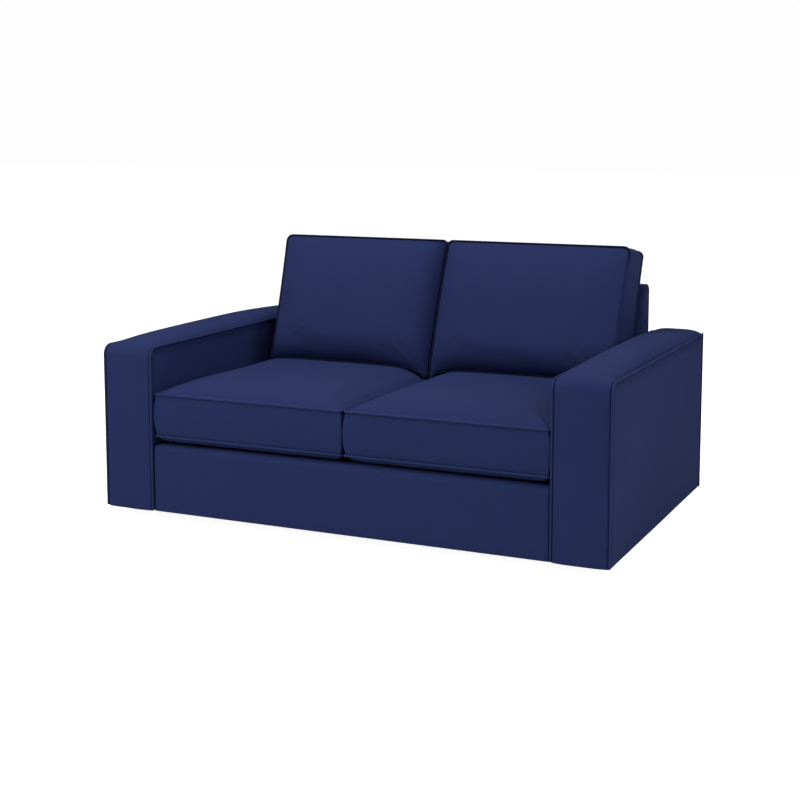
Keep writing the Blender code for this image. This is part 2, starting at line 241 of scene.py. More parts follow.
def finish_cloth(cloth, material, outward):
    """Gives a laid sheet its thickness and material; outward is a direction that its right side faces."""
    bpy.ops.object.select_all(action="DESELECT")
    cloth.select_set(True)
    bpy.context.view_layer.objects.active = cloth
    facing = sum((p.normal * p.area for p in cloth.data.polygons), Vector())
    if facing.dot(Vector(outward)) < 0:
        cloth.data.flip_normals()
    wall = cloth.modifiers.new("thickness", "SOLIDIFY")
    wall.thickness = CLOTH
    wall.offset = 0.0
    wall.use_even_offset = True
    bpy.ops.object.modifier_apply(modifier=wall.name)
    bpy.ops.object.shade_smooth_by_angle(angle=math.radians(50))
    cloth.data.materials.append(material)


def brush_cloth(shader):
    """The faint blue bloom that brushing leaves."""
    shader.inputs["Sheen Weight"].default_value = 0.008
    shader.inputs["Sheen Roughness"].default_value = 0.6
    shader.inputs["Sheen Tint"].default_value = linear("#5b6bb0")


def woven_cloth(name, colour):
    """Piece-dyed cotton and polyester upholstery cloth, plain woven and lightly brushed.

    The brushing leaves it matt with a faint bloom, and the dye takes a little unevenly. The real threads
    lie 0.5 mm apart; they are drawn 1.1 mm apart so that close views show them.
    """
    material = bpy.data.materials.new(name)
    material.use_nodes = True
    tree = material.node_tree
    shader = tree.nodes["Principled BSDF"]
    cut = add_node(tree, "UVMap", uv_map="UVMap")
    split = add_node(tree, "SeparateXYZ", (cut,))
    place = add_node(tree, "TexCoord").outputs["Object"]
    seam = add_node(tree, "Attribute", attribute_name="seam").outputs["Fac"]
    stitch = add_node(tree, "Attribute", attribute_name="stitch").outputs["Fac"]
    shaded = add_node(tree, "Attribute", attribute_name="shade").outputs["Fac"]

    # threads: warp and weft pass over each other in turn
    waves = []
    for axis in ("X", "Y"):
        wave = add_node(tree, "Math", (split.outputs[axis], math.pi / THREAD), operation="MULTIPLY")
        waves.append(add_node(tree, "Math", (wave,), operation="SINE"))
    over = add_node(tree, "Math", waves, operation="MULTIPLY")
    over = add_node(tree, "Math", (over, 0.5, 0.5), operation="MULTIPLY_ADD")
    under = add_node(tree, "Math", (1.0, over), operation="SUBTRACT")
    heights = []
    for wave, seen in zip(waves, (over, under)):
        height = add_node(tree, "Math", (wave,), operation="ABSOLUTE")
        heights.append(add_node(tree, "Math", (height, seen), operation="MULTIPLY"))
    threads = add_node(tree, "Math", heights, operation="MAXIMUM")

    # slubs: long thin places along the weft, 3 mm by 40 mm
    slub_cut = add_node(tree, "Mapping", {"Vector": cut, "Scale": (25.0, 330.0, 1.0)})
    slubs = add_node(tree, "TexNoise", {"Vector": slub_cut, "Scale": 1.0, "Detail": 2.0})
    # dye and nap, in soft patches of 20 cm and 3 cm
    patches = add_node(tree, "TexNoise", {"Vector": place, "Scale": 5.0, "Detail": 2.0})
    mottle = add_node(tree, "TexNoise", {"Vector": place, "Scale": 34.0, "Detail": 3.0})

    # small puckers, 17 mm apart, that run out of the seams over 12 mm
    near = add_node(tree, "MapRange", (seam, 0.0, 0.012, 1.0, 0.0))
    near = add_node(tree, "Math", (near, near), operation="MULTIPLY")
    run = add_node(tree, "Math", (split.outputs["X"], split.outputs["Y"]), operation="ADD")
    ripple = add_node(tree, "Math", (run, 2 * math.pi / 0.017), operation="MULTIPLY")
    ripple = add_node(tree, "Math", (mottle, 5.0, ripple), operation="MULTIPLY_ADD")
    ripple = add_node(tree, "Math", (ripple,), operation="SINE")
    pucker = add_node(tree, "Math", (ripple, near), operation="MULTIPLY")

    # stitches of 3 mm, 4 mm apart, each a little sunk, with thread a shade lighter than the cloth
    on_line = add_node(tree, "Math", (stitch,), operation="ABSOLUTE")
    on_line = add_node(tree, "Math", (on_line, 0.0006), operation="LESS_THAN")
    dash = add_node(tree, "Math", (run, 1 / 0.004), operation="MULTIPLY")
    dash = add_node(tree, "Math", (dash,), operation="FRACT")
    dash = add_node(tree, "Math", (dash, 0.72), operation="LESS_THAN")
    sewn = add_node(tree, "Math", (on_line, dash), operation="MULTIPLY")

    # the crease beside each seam lies in its own shadow, over 5 mm
    crease = add_node(tree, "MapRange", (seam, 0.0, 0.005, 1.0, 0.0))
    crease = add_node(tree, "Math", (crease, -0.42, 1.0), operation="MULTIPLY_ADD")

    tone = 0.83
    for pattern, weight in ((patches, 0.10), (mottle, 0.05), (slubs, 0.05), (threads, 0.10), (sewn, 0.18)):
        tone = add_node(tree, "Math", (pattern, weight, tone), operation="MULTIPLY_ADD")
    tone = add_node(tree, "Math", (tone, crease), operation="MULTIPLY")
    dyed = add_node(tree, "VectorMath", {0: linear(colour)[:3], "Scale": tone}, operation="SCALE")

    # where the cloth is shaded it loses its red and green first, and stays blue
    lost = add_node(tree, "VectorMath", {0: (1.25, 1.08, 0.80), "Scale": shaded}, operation="SCALE")
    kept = add_node(tree, "VectorMath", ((1.0, 1.0, 1.0), lost), operation="SUBTRACT")
    dyed = add_node(tree, "VectorMath", (dyed, kept), operation="MULTIPLY")
    tree.links.new(dyed.outputs[0], shader.inputs["Base Color"])

    rough = add_node(tree, "Math", (mottle, 0.10, 0.84), operation="MULTIPLY_ADD")
    tree.links.new(rough.outputs[0], shader.inputs["Roughness"])
    shader.inputs["Specular IOR Level"].default_value = 0.12
    brush_cloth(shader)

    # threads, puckers and stitches in relief, one on top of the other
    relief = add_node(tree, "Bump", {"Height": threads, "Strength": 0.35, "Distance": 0.0004})
    for height, distance in ((pucker, 0.0005), (sewn, 0.0004)):
        links = {"Height": height, "Strength": 0.5, "Distance": distance, "Normal": relief}
        relief = add_node(tree, "Bump", links)
    tree.links.new(relief.outputs[0], shader.inputs["Normal"])
    return material


cover_cloth = woven_cloth("navy_cover_cloth", "#1f2951")


def quarter_round(y, z, radius, steps):
    """The points of a quarter circle round (y, z), from its front to its top: (y, z, cosine, sine)."""
    points = []
    for step in range(1, steps + 1):
        angle = math.radians(180 - 90 * step / steps)
        out_y, out_z = math.cos(angle), math.sin(angle)
        points.append((y + radius * out_y, z + radius * out_z, out_y, out_z))
    return points


def arm_seam_top(y, inset):
    """Height of a side panel's upper edge at y, with the rounded corner at the front."""
    radius = ARM_CORNER - inset
    top = ARM_HEIGHT - inset
    back = radius - (y - PIPING - inset)
    if back <= 0:
        return top
    return top - radius + math.sqrt(max(radius ** 2 - back ** 2, 0.0))


def arm_strip_path():
    """The strip's way in the y-z plane: (y, z, y and z of the direction that it swells in)."""
    rows = [(PIPING + inside, z, -1.0, 0.0) for inside, z in hem]
    rows += [(PIPING, z, -1.0, 0.0) for z in between(0.012, ARM_HEIGHT - ARM_CORNER, MESH_STEP)]
    rows += quarter_round(PIPING + ARM_CORNER, ARM_HEIGHT - ARM_CORNER, ARM_CORNER, 12)
    ys = lines_across(PIPING + ARM_CORNER - 0.014, STRIP_END)
    rows += [(y, ARM_HEIGHT, 0.0, 1.0) for y in ys if y > PIPING + ARM_CORNER + 0.004]
    return rows


def run_lengths(rows):
    """Distance along a path of (y, z, ...) rows to each of its points."""
    lengths = [0.0]
    for before, after in zip(rows, rows[1:]):
        lengths.append(lengths[-1] + math.dist(before[:2], after[:2]))
    return lengths


STRIP_END = ARM_DEPTH - 0.0005
STRIP_HALF = ARM_WIDTH / 2 - 2 * PIPING - 0.0008
SIDE_INSET = PIPING + 0.0006
SIDE_FRONT, SIDE_END = PIPING + SIDE_INSET, ARM_DEPTH - 0.0024
# how far the strip stands up at the front and at the rear, before its bulge
FULL_FRONT, FULL_REAR = 0.005, 0.012
# a side panel is darker beside its piping, up to 1.2 steps from it, and fades out by 2.2 steps
SEAM_SHADE = 0.25
SEAM_SHADE_STEP = 0.011

hem = turned_hem()
strip_rows = arm_strip_path()
strip_runs = run_lengths(strip_rows)
# mesh lines of the panels with a turned hem, inside and at the fold
hem_lines = [-z for _, z in hem[:3]] + [-0.0030, -0.0020, -0.0010, 0.0, hem[-1][1]]


def lines_up(top):
    """Places of the mesh lines up a side or rear panel, hem included."""
    return hem_lines + [up for up in lines_across(-0.02, top) if up > 0.008]


for row in SIDES:
    side, bulge = row["side"], row["bulge"]
    middle_x = side * ARM_MIDDLE_X

    # the strip over the front and the top, padded fuller towards the rear
    strip = cut_cloth(f"cloth_arm_strip_{row['name']}", lines_across(-STRIP_HALF, STRIP_HALF), strip_runs)

    def strip_place(u, v, line):
        y, z, out_y, out_z = strip_rows[line]
        share = max(y - PIPING, 0.0) / (ARM_DEPTH - PIPING)
        full = FULL_FRONT + (FULL_REAR - FULL_FRONT) * share + bulge * arm_fullness(share)
        to_seam = STRIP_HALF - abs(u)
        to_rear = STRIP_END - y if out_z > 0.99 else 1.0
        swell = full * (1 - abs(u / STRIP_HALF) ** 4) - rolled(to_seam) - rolled(to_rear)
        swell += 0.0007 * uneven(u, v, 1.0 + side) * min(to_seam / 0.03, 1.0)
        stitch = z - HEM_STITCH if y < PIPING + 0.001 else NO_STITCH
        return (middle_x + u, y + out_y * swell, z + out_z * swell), min(to_seam, to_rear), stitch

    lay_cloth(strip, strip_place)
    finish_cloth(strip, cover_cloth, (0, -1, 1))
    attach(strip, "root")
    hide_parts(f"arm_strip_{row['name']}")

    # the side panels
    for face, out, swell in (("outer", side, 0.004), ("inner", -side, 0.0)):
        rim = (0.0, 0.0004, 0.0012, 0.0025, 0.004, 0.006, 0.009, 0.013, 0.018, 0.0224)
        ys = [SIDE_FRONT + d for d in rim]
        ys += [y for y in lines_across(SIDE_FRONT + 0.01, SIDE_END) if y > SIDE_FRONT + 0.029]
        panel = cut_cloth(f"cloth_arm_{face}_{row['name']}", ys, lines_up(ARM_HEIGHT - SIDE_INSET))
        x = middle_x + out * (ARM_WIDTH / 2 - PIPING)

        def panel_place(y, up, line):
            inside, z = hem[line] if line < len(hem) else (0.0, up)
            height = ARM_HEIGHT - SIDE_INSET
            stretch = arm_seam_top(y, SIDE_INSET) / height
            to_front, to_rear, to_top = y - SIDE_FRONT, SIDE_END - y, height - z
            radius = ARM_CORNER - SIDE_INSET
            # rows bend down with the corner, so the distance is taken from where the point ends up
            over = radius - (height - z * stretch)
            if to_front < radius and over > 0:
                to_edge = radius - math.hypot(radius - to_front, over)
            else:
                to_edge = min(to_front, to_top)
            to_edge = max(min(to_edge, to_rear), 0.0)
            bow = swell * hump(y / ARM_DEPTH) * hump(min(max(z, 0.0) / ARM_HEIGHT, 1.0))
            bow += 0.0008 * uneven(y, z, 3.0 * side + out) * min(to_edge / 0.05, 1.0)
            spot_x = x + out * (bow - rolled(to_edge) - inside)
            return (spot_x, y, z * stretch), to_edge, z - HEM_STITCH if inside == 0.0 else NO_STITCH

        lay_cloth(panel, panel_place)
        to_seams = [point.value for point in panel.data.attributes["seam"].data]
        note_points(panel.data, "shade", [
            SEAM_SHADE * min(max(2.2 - to_seam / SEAM_SHADE_STEP, 0.0), 1.0) for to_seam in to_seams
        ])
        finish_cloth(panel, cover_cloth, (out, 0, 0))
        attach(panel, "root")
        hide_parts(f"arm_{face}_{row['name']}")

    # the rear panel
    half = ARM_WIDTH / 2 - CLOTH / 2
    rear_panel = cut_cloth(f"cloth_arm_rear_{row['name']}", lines_across(-half, half), lines_up(ARM_HEIGHT))

    def rear_place(u, up, line):
        inside, z = hem[line] if line < len(hem) else (0.0, up)
        crown = FULL_REAR * max(1 - abs(u / STRIP_HALF) ** 4, 0.0)
        to_edge = max(min(half - abs(u), ARM_HEIGHT - z), 0.0)
        z = z * (1 + crown / ARM_HEIGHT)
        y = ARM_DEPTH - CLOTH / 2 - inside - rolled(to_edge)
        return (middle_x + u, y, z), to_edge, z - HEM_STITCH if inside == 0.0 else NO_STITCH

    lay_cloth(rear_panel, rear_place)
    finish_cloth(rear_panel, cover_cloth, (0, 1, 0))
    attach(rear_panel, "root")
    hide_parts(f"arm_rear_{row['name']}")


# ---- Arm piping
# A soft cord wrapped in a bias strip of the same cloth and sewn into each long seam of the arms, from the
# hem at the front to the rear panel. Its cloth is worn a little lighter than the panels.


def piping_cord(name, points, material, replaced, closed):
    """A round cord of cloth-covered piping along these points, in the hem frame, as a mesh tube."""
    curve = bpy.data.curves.new(name, "CURVE")
    curve.dimensions = "3D"
    curve.bevel_depth = PIPING
    curve.bevel_resolution = 3
    curve.use_fill_caps = not closed
    line = curve.splines.new("POLY")
    line.points.add(len(points) - 1)
    for point, spot in zip(line.points, points):
        point.co = (*(Vector(spot) + Vector((0.0, FRONT_Y, HEM_Z))), 1.0)
        point.radius = 1.0 + 0.03 * noise.noise(Vector(spot) * 55.0)
    line.use_cyclic_u = closed
    cord = bpy.data.objects.new(name, curve)
    scene.collection.objects.link(cord)
    bpy.ops.object.select_all(action="DESELECT")
    cord.select_set(True)
    bpy.context.view_layer.objects.active = cord
    bpy.ops.object.convert(target="MESH")
    cord = bpy.context.object
    cord.data.name = name
    bpy.ops.object.shade_smooth()
    cord.data.materials.clear()
    cord.data.materials.append(material)
    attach(cord, "root")
    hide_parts(replaced)


def bias_cloth(name, colour, gloss=0.12, light_from=-9.0, light_below=9.0):
    """The same cloth, cut on the bias, so its threads run round the cord at 45 degrees.

    Only the part of a cord to the right of light_from and under light_below shows the full colour.
    """
    material = bpy.data.materials.new(name)
    material.use_nodes = True
    tree = material.node_tree
    shader = tree.nodes["Principled BSDF"]
    place = add_node(tree, "TexCoord").outputs["Object"]
    split = add_node(tree, "SeparateXYZ", (place,))
    along = add_node(tree, "Math", (split.outputs["X"], split.outputs["Y"]), operation="ADD")
    waves = []
    for slant in ("ADD", "SUBTRACT"):
        wave = add_node(tree, "Math", (along, split.outputs["Z"]), operation=slant)
        wave = add_node(tree, "Math", (wave, math.pi / (THREAD * math.sqrt(2))), operation="MULTIPLY")
        wave = add_node(tree, "Math", (wave,), operation="SINE")
        waves.append(add_node(tree, "Math", (wave,), operation="ABSOLUTE"))
    threads = add_node(tree, "Math", waves, operation="MAXIMUM")
    mottle = add_node(tree, "TexNoise", {"Vector": place, "Scale": 40.0, "Detail": 3.0})
    tone = add_node(tree, "Math", (threads, 0.10, 0.80), operation="MULTIPLY_ADD")
    tone = add_node(tree, "Math", (mottle, 0.16, tone), operation="MULTIPLY_ADD")
    lit = 1.0
    for axis, start, end in (("X", light_from - 0.01, light_from), ("Z", light_below, light_below - 0.02)):
        reached = add_node(tree, "MapRange", (split.outputs[axis], start, end))
        lit = add_node(tree, "Math", (reached, lit), operation="MULTIPLY")
    lit = add_node(tree, "Math", (lit, 0.65, 0.35), operation="MULTIPLY_ADD")
    tone = add_node(tree, "Math", (tone, lit), operation="MULTIPLY")
    dyed = add_node(tree, "VectorMath", {0: linear(colour)[:3], "Scale": tone}, operation="SCALE")
    tree.links.new(dyed.outputs[0], shader.inputs["Base Color"])
    shader.inputs["Roughness"].default_value = 0.74
    shader.inputs["Specular IOR Level"].default_value = gloss
    brush_cloth(shader)
    relief = add_node(tree, "Bump", {"Height": threads, "Strength": 0.35, "Distance": 0.0004})
    tree.links.new(relief.outputs[0], shader.inputs["Normal"])
    return material


piping_cloth = bias_cloth("navy_piping_cloth", "#202c56")

arm_seam = [(PIPING, z) for z in between(0.0025, ARM_HEIGHT - ARM_CORNER, MESH_STEP)]
corner = quarter_round(PIPING + ARM_CORNER, ARM_HEIGHT - ARM_CORNER, ARM_CORNER, 12)
arm_seam += [(y, z) for y, z, _, _ in corner]
arm_seam += [(y, ARM_HEIGHT) for y in between(PIPING + ARM_CORNER, SIDE_END, MESH_STEP)[1:]]
for row in SIDES:
    for face, out in (("outer", row["side"]), ("inner", -row["side"])):
        x = row["side"] * ARM_MIDDLE_X + out * (ARM_WIDTH / 2 - PIPING)
        piping_cord(f"cord_arm_{face}_{row['name']}", [(x, y, z) for y, z in arm_seam], piping_cloth,
                    f"arm_piping_{face}_{row['name']}", closed=False)


# ---- Front panel
# One panel of the cover cloth across the front of the seat base, from the turned hem up over the padded
# front edge to the seat platform. Its ends turn back beside the arms.
INNER_X = COVER_HALF_X - ARM_WIDTH
HALF_X = INNER_X - 0.0010
BASE_Y = 0.007
BASE_TOP = 0.2115
BASE_CORNER = 0.020
BASE_CREST_END = 0.055
BASE_END = 0.110
DECK_Z = 0.2095
DECK_END = 0.787
END_ROLL = 0.007
TOP_STITCH = 0.006


def cross_panel(name, rows, replaced, outward, roll, seed, swell=0.0, hem_rows=0, stitch_from=None):
    """A panel across the cover that follows (y, z, swell y, swell z) rows; its ends roll in.

    The first hem_rows rows are the turned hem; stitch_from is a stitch line's distance from the last row.
    """
    runs = run_lengths(rows)
    hem_run = runs[hem_rows] if hem_rows else 0.0
    panel = cut_cloth(name, lines_across(-HALF_X, HALF_X, 0.014, roll), runs)
    full = runs[-1] - hem_run

    def place(u, v, line):
        y, z, out_y, out_z = rows[line]
        to_end = HALF_X - abs(u)
        share = max(v - hem_run, 0.0) / full
        bow = swell * hump(share) * hump((u / HALF_X + 1) / 2) - rolled(to_end, roll)
        bow += 0.0009 * uneven(u, v, seed) * min(to_end / 0.05, 1.0) * min(share * 6, (1 - share) * 6, 1.0)
        stitch = z - HEM_STITCH if hem_rows and line >= hem_rows else NO_STITCH
        if stitch_from is not None:
            stitch = min(stitch, runs[-1] - v - stitch_from, key=abs)
        return (u, y + out_y * bow, z + out_z * bow), to_end, stitch

    lay_cloth(panel, place)
    finish_cloth(panel, cover_cloth, outward)
    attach(panel, "root")
    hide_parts(replaced)


base_rows = [(BASE_Y + inside, z, -1.0, 0.0) for inside, z in hem]
base_rows += [(BASE_Y, z, -1.0, 0.0) for z in between(0.010, BASE_TOP - BASE_CORNER, MESH_STEP)]
base_rows += quarter_round(BASE_Y + BASE_CORNER, BASE_TOP - BASE_CORNER, BASE_CORNER, 10)
for y in between(BASE_Y + BASE_CORNER, BASE_CREST_END, 0.008)[1:]:
    share = (y - BASE_Y - BASE_CORNER) / (BASE_CREST_END - BASE_Y - BASE_CORNER)
    base_rows.append((y, BASE_TOP - (BASE_TOP - DECK_Z) * share * share * (3 - 2 * share), 0.0, 1.0))
base_rows += [(y, DECK_Z, 0.0, 1.0) for y in between(BASE_CREST_END, BASE_END, 0.010)[1:]]
cross_panel("cloth_base_front", base_rows, "base_front", outward=(0, -1, 1),
            roll=END_ROLL, seed=11.0, swell=0.003, hem_rows=len(hem) - 1, stitch_from=TOP_STITCH)


# ---- Seat platform
# A plain panel of the cover cloth under the seat cushions, sewn to the front panel and tucked in under the
# inside back. The cushions hide it.
deck_rows = [(y, DECK_Z, 0.0, 1.0) for y in between(BASE_END + 0.0004, DECK_END, 0.016)]
cross_panel("cloth_seat_deck", deck_rows, "seat_deck", outward=(0, 0, 1),
            roll=0.002, seed=17.0)


# ---- Back cover
# The inside back leans behind the cushions, the top panel runs over the back's padded edge and the
# outside back hangs straight to a turned hem. Two end panels close it beside the arms.
BACK_HEIGHT = 0.680
BACK_REAR_Y = 1.005
BACK_CLOTH_Y = BACK_REAR_Y - CLOTH / 2
BACK_CORNER = 0.025
BACK_FOOT_Y, BACK_FOOT_Z = 0.775, 0.2085
BACK_TOP_Y = 0.955
BACK_LEAN = math.atan2(BACK_TOP_Y - BACK_FOOT_Y, BACK_HEIGHT - BACK_FOOT_Z)
BACK_SEAM_Z = BACK_HEIGHT - 0.040
BACK_ARC_Z = BACK_HEIGHT - CLOTH / 2 - BACK_CORNER
BACK_ROLL = 0.005
SEAM_GAP = 0.0008


def back_slope(z, inset=0.0):
    """y of the inside back's cloth at height z, or of a surface that lies inset behind it."""
    return BACK_FOOT_Y + (z - BACK_FOOT_Z) * math.tan(BACK_LEAN) + inset / math.cos(BACK_LEAN)


slope_out = (-math.cos(BACK_LEAN), math.sin(BACK_LEAN))
inside_rows = [(back_slope(z), z, *slope_out) for z in between(0.212, BACK_SEAM_Z, 0.014)]
cross_panel("cloth_back_inside", inside_rows, "back_inside", outward=(0, -1, 0),
            roll=BACK_ROLL, seed=23.0, stitch_from=TOP_STITCH)

top_rows = [(back_slope(BACK_SEAM_Z + SEAM_GAP), BACK_SEAM_Z + SEAM_GAP, *slope_out)]
front_centre = back_slope(BACK_ARC_Z, BACK_CORNER)
rear_centre = BACK_CLOTH_Y - BACK_CORNER
for centre, first, last in ((front_centre, 180 - math.degrees(BACK_LEAN), 90), (rear_centre, 90, 0)):
    for step in range(9):
        angle = math.radians(first + (last - first) * step / 8)
        top_rows.append((centre + BACK_CORNER * math.cos(angle), BACK_ARC_Z + BACK_CORNER * math.sin(angle),
                         math.cos(angle), math.sin(angle)))
top_rows.append((BACK_CLOTH_Y, BACK_SEAM_Z + SEAM_GAP, 1.0, 0.0))
cross_panel("cloth_back_top", top_rows, "back_top", outward=(0, 0, 1),
            roll=BACK_ROLL, seed=29.0, stitch_from=TOP_STITCH)

outside_rows = [(BACK_CLOTH_Y - inside, z, 1.0, 0.0) for inside, z in hem]
outside_rows += [(BACK_CLOTH_Y, z, 1.0, 0.0) for z in between(0.010, BACK_SEAM_Z, 0.014)]
cross_panel("cloth_back_outside", outside_rows, "back_outside", outward=(0, 1, 0),
            roll=BACK_ROLL, seed=31.0, swell=0.002, hem_rows=len(hem) - 1, stitch_from=TOP_STITCH)

END_EDGE_ROLL = 0.003
for row in SIDES:
    inset = CLOTH / 2 + SEAM_GAP + END_EDGE_ROLL
    heights = between(0.214, BACK_ARC_Z, 0.014)
    for step in range(1, 9):
        angle = math.radians(90 * step / 8)
        heights.append(BACK_ARC_Z + (BACK_CORNER - inset) * math.sin(angle))
    end_panel = cut_cloth(f"cloth_back_end_{row['name']}", lines_across(0.0, 1.0, 0.08, 0.02), heights)
    x = row["side"] * (HALF_X - CLOTH / 2)

    def end_place(u, z, line):
        radius = BACK_CORNER - inset
        rise = max(z - BACK_ARC_Z, 0.0)
        narrow = radius - math.sqrt(max(radius ** 2 - rise ** 2, 0.0))
        front = back_slope(min(z, BACK_ARC_Z), inset) + narrow
        rear = BACK_CLOTH_Y - inset - narrow
        y = front + (rear - front) * u
        to_edge = max(min(y - front, rear - y, BACK_ARC_Z + radius - z), 0.0)
        return (x - row["side"] * rolled(to_edge, END_EDGE_ROLL), y, z), to_edge, NO_STITCH

    lay_cloth(end_panel, end_place)
    finish_cloth(end_panel, cover_cloth, (row["side"], 0, 0))
    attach(end_panel, "root")
    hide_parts(f"back_end_{row['name']}")


# ---- Seat cushions
# Two boxed cushions: a top and a bottom panel sewn to a boxing strip, with piping in both seams, filled
# until the panels stand up in a full crown. They sit side by side on the platform.
SEAT_FRONT_Y = 0.014
SEAT_DEPTH = 0.7345
SEAT_TOP_SEAM = 0.3700
SEAT_BOTTOM_SEAM = 0.2405
SEAT_GAP = 0.00075
SEAT_HALF_X = (INNER_X - SEAT_GAP) / 2 - (SEAT_GAP + 2 * PIPING + 0.0004)
SEAT_MIDDLE_X = INNER_X / 2
SEAT_CROWN, SEAT_DROP = 0.042, 0.0275
SEAT_SWELL = 0.0072
SEAT_SINK = 0.010
# the split between the seats stands this far to the right, and their undersides lie flat at this height
SEAT_SHIFT = 0.008
SEAT_REST = 0.213
# the most that the filling moves a cushion's cloth
PUFF = 0.004
# share of the way from the middle to the seam -> share of the panel's full swell, on top and underneath
CROWN = ((0.0, 1.0), (0.35, 0.99), (0.65, 0.92), (0.85, 0.70), (0.95, 0.38), (1.0, 0.0))
DROP = ((0.0, 1.0), (0.85, 0.98), (0.93, 0.90), (0.97, 0.72), (0.99, 0.42), (1.0, 0.0))


def filled(table, share):
    """A smooth curve through the table's points."""
    share = min(abs(share), 1.0)
    for i, ((start, low), (end, high)) in enumerate(zip(table, table[1:])):
        if share <= end:
            before = table[max(i - 1, 0)]
            after = table[min(i + 2, len(table) - 1)]
            t = (share - start) / (end - start)
            m0 = (high - before[1]) / max(end - before[0], 1e-6) * (end - start) if i else 0.0
            m1 = (after[1] - low) / max(after[0] - start, 1e-6) * (end - start)
            return ((2 * t ** 3 - 3 * t ** 2 + 1) * low + (t ** 3 - 2 * t ** 2 + t) * m0
                    + (-2 * t ** 3 + 3 * t ** 2) * high + (t ** 3 - t ** 2) * m1)
    return 0.0


def panel_fill(table, a, b):
    """How full a panel stands at a and b, each -1 to 1 from seam to seam."""
    one, other = filled(table, a), filled(table, b)
    if one <= 0.0 or other <= 0.0:
        return 0.0
    return (one ** -2 + other ** -2 - 1) ** -0.5


def cushion_block(name, cells):
    """A cube cut into cells along x, y and z, with its corners at -1 and 1."""
    bpy.ops.object.select_all(action="DESELECT")
    bpy.ops.mesh.primitive_cube_add(size=2)
    block = bpy.context.object
    block.name = block.data.name = name
    bpy.ops.object.mode_set(mode="EDIT")
    bpy.ops.mesh.select_mode(type="EDGE")
    for axis, count in enumerate(cells):
        bpy.ops.mesh.select_all(action="DESELECT")
        mesh = bmesh.from_edit_mesh(block.data)
        for edge in mesh.edges:
            edge.select_set(abs(edge.verts[0].co[axis] - edge.verts[1].co[axis]) > 1e-5)
        bmesh.update_edit_mesh(block.data)
        bpy.ops.mesh.subdivide(number_cuts=count - 1)
    bpy.ops.object.mode_set(mode="OBJECT")
    return block


def closer_to_seams(t):
    """Moves the mesh lines, from -1 to 1, closer together beside the seams."""
    return 0.4 * t + 0.6 * math.sin(t * math.pi / 2)


def shape_cushion(block, half_a, half_b, height, place):
    """Shapes the block with place(a, b, c, on_panel), marks its seams and lays out its cloth.

    Returns where each vertex lay in the block, from -1 to 1.
    """
    mesh = block.data
    local = [Vector(map(closer_to_seams, v.co)) for v in mesh.vertices]
    uv = mesh.uv_layers.active.data
    for polygon in mesh.polygons:
        middle = sum((local[i] for i in polygon.vertices), Vector()) / len(polygon.vertices)
        for loop in polygon.loop_indices:
            a, b, c = local[mesh.loops[loop].vertex_index]
            a, b, c = a * half_a, b * half_b, c * height / 2
            if abs(middle.z) > 0.99999:
                uv[loop].uv = (a, b)
            elif abs(middle.y) > 0.99999:
                uv[loop].uv = (a, c)
            else:
                uv[loop].uv = (b, c)
    on_seam = block.vertex_groups.new(name="sewn")
    rim, to_seam = [], []
    for vertex, spot in zip(mesh.vertices, local):
        a, b, c = spot
        on_panel = abs(c) > 0.99999
        on_edge = abs(a) > 0.99999 or abs(b) > 0.99999
        if on_panel:
            to_seam.append(min(half_a * (1 - abs(a)), half_b * (1 - abs(b))))
        else:
            to_seam.append(height / 2 * (1 - abs(c)))
        if on_panel and on_edge:
            on_seam.add([vertex.index], 1.0, "REPLACE")
            rim.append(vertex.index)
        vertex.co = Vector(place(a, b, c, on_panel)) + Vector((0.0, FRONT_Y, HEM_Z))
    note_points(mesh, "seam", to_seam)
    note_points(mesh, "stitch", [NO_STITCH] * len(to_seam))
    crease = mesh.attributes.new("crease_edge", "FLOAT", "EDGE").data
    rim = set(rim)
    for edge in mesh.edges:
        if edge.vertices[0] in rim and edge.vertices[1] in rim:
            one, other = (local[i] for i in edge.vertices)
            level = abs(one.z - other.z) < 1e-5
            if level and any(abs(one[i] - other[i]) < 1e-5 and abs(one[i]) > 0.9999 for i in (0, 1)):
                crease[edge.index].value = 0.8
    return local


def fill_cushion(block):
    """Blows the sewn case up with a cloth simulation, its seams held; no point moves further than PUFF."""
    start = [v.co.copy() for v in block.data.vertices]
    bpy.ops.object.select_all(action="DESELECT")
    block.select_set(True)
    bpy.context.view_layer.objects.active = block
    cloth = block.modifiers.new("filling", "CLOTH")
    cloth.settings.quality = 6
    cloth.settings.mass = 0.3
    cloth.settings.vertex_group_mass = "sewn"
    cloth.settings.use_pressure = True
    cloth.settings.uniform_pressure_force = 4.0
    cloth.settings.effector_weights.gravity = 0.0
    cloth.point_cache.frame_start = 1
    cloth.point_cache.frame_end = 20
    for number in range(1, 21):
        scene.frame_set(number)
    bpy.ops.object.modifier_apply(modifier=cloth.name)
    scene.frame_set(1)
    for vertex, spot in zip(block.data.vertices, start):
        move = vertex.co - spot
        if move.length > PUFF:
            move *= PUFF / move.length
        vertex.co = spot + move


def finish_cushion(block, material):
    """One subdivision with the seams kept crisp, smooth shading and the cloth."""
    bpy.ops.object.select_all(action="DESELECT")
    block.select_set(True)
    bpy.context.view_layer.objects.active = block
    rounder = block.modifiers.new("rounder", "SUBSURF")
    rounder.levels = rounder.render_levels = 1
    bpy.ops.object.modifier_apply(modifier=rounder.name)
    bpy.ops.object.shade_smooth()
    block.data.materials.append(material)


def seam_line(block, local, level):
    """The vertices of one seam in order round the cushion, with their outward normals."""
    around = []
    for index, (a, b, c) in enumerate(local):
        if c * level > 0.99999 and (abs(a) > 0.99999 or abs(b) > 0.99999):
            around.append((math.atan2(b, a), index))
    vertices = [block.data.vertices[index] for _, index in sorted(around)]
    return [(vertex.co.copy(), vertex.normal.copy()) for vertex in vertices]


cushion_cloth = woven_cloth("navy_cushion_cloth", "#1f2951")
seat_seams = {}

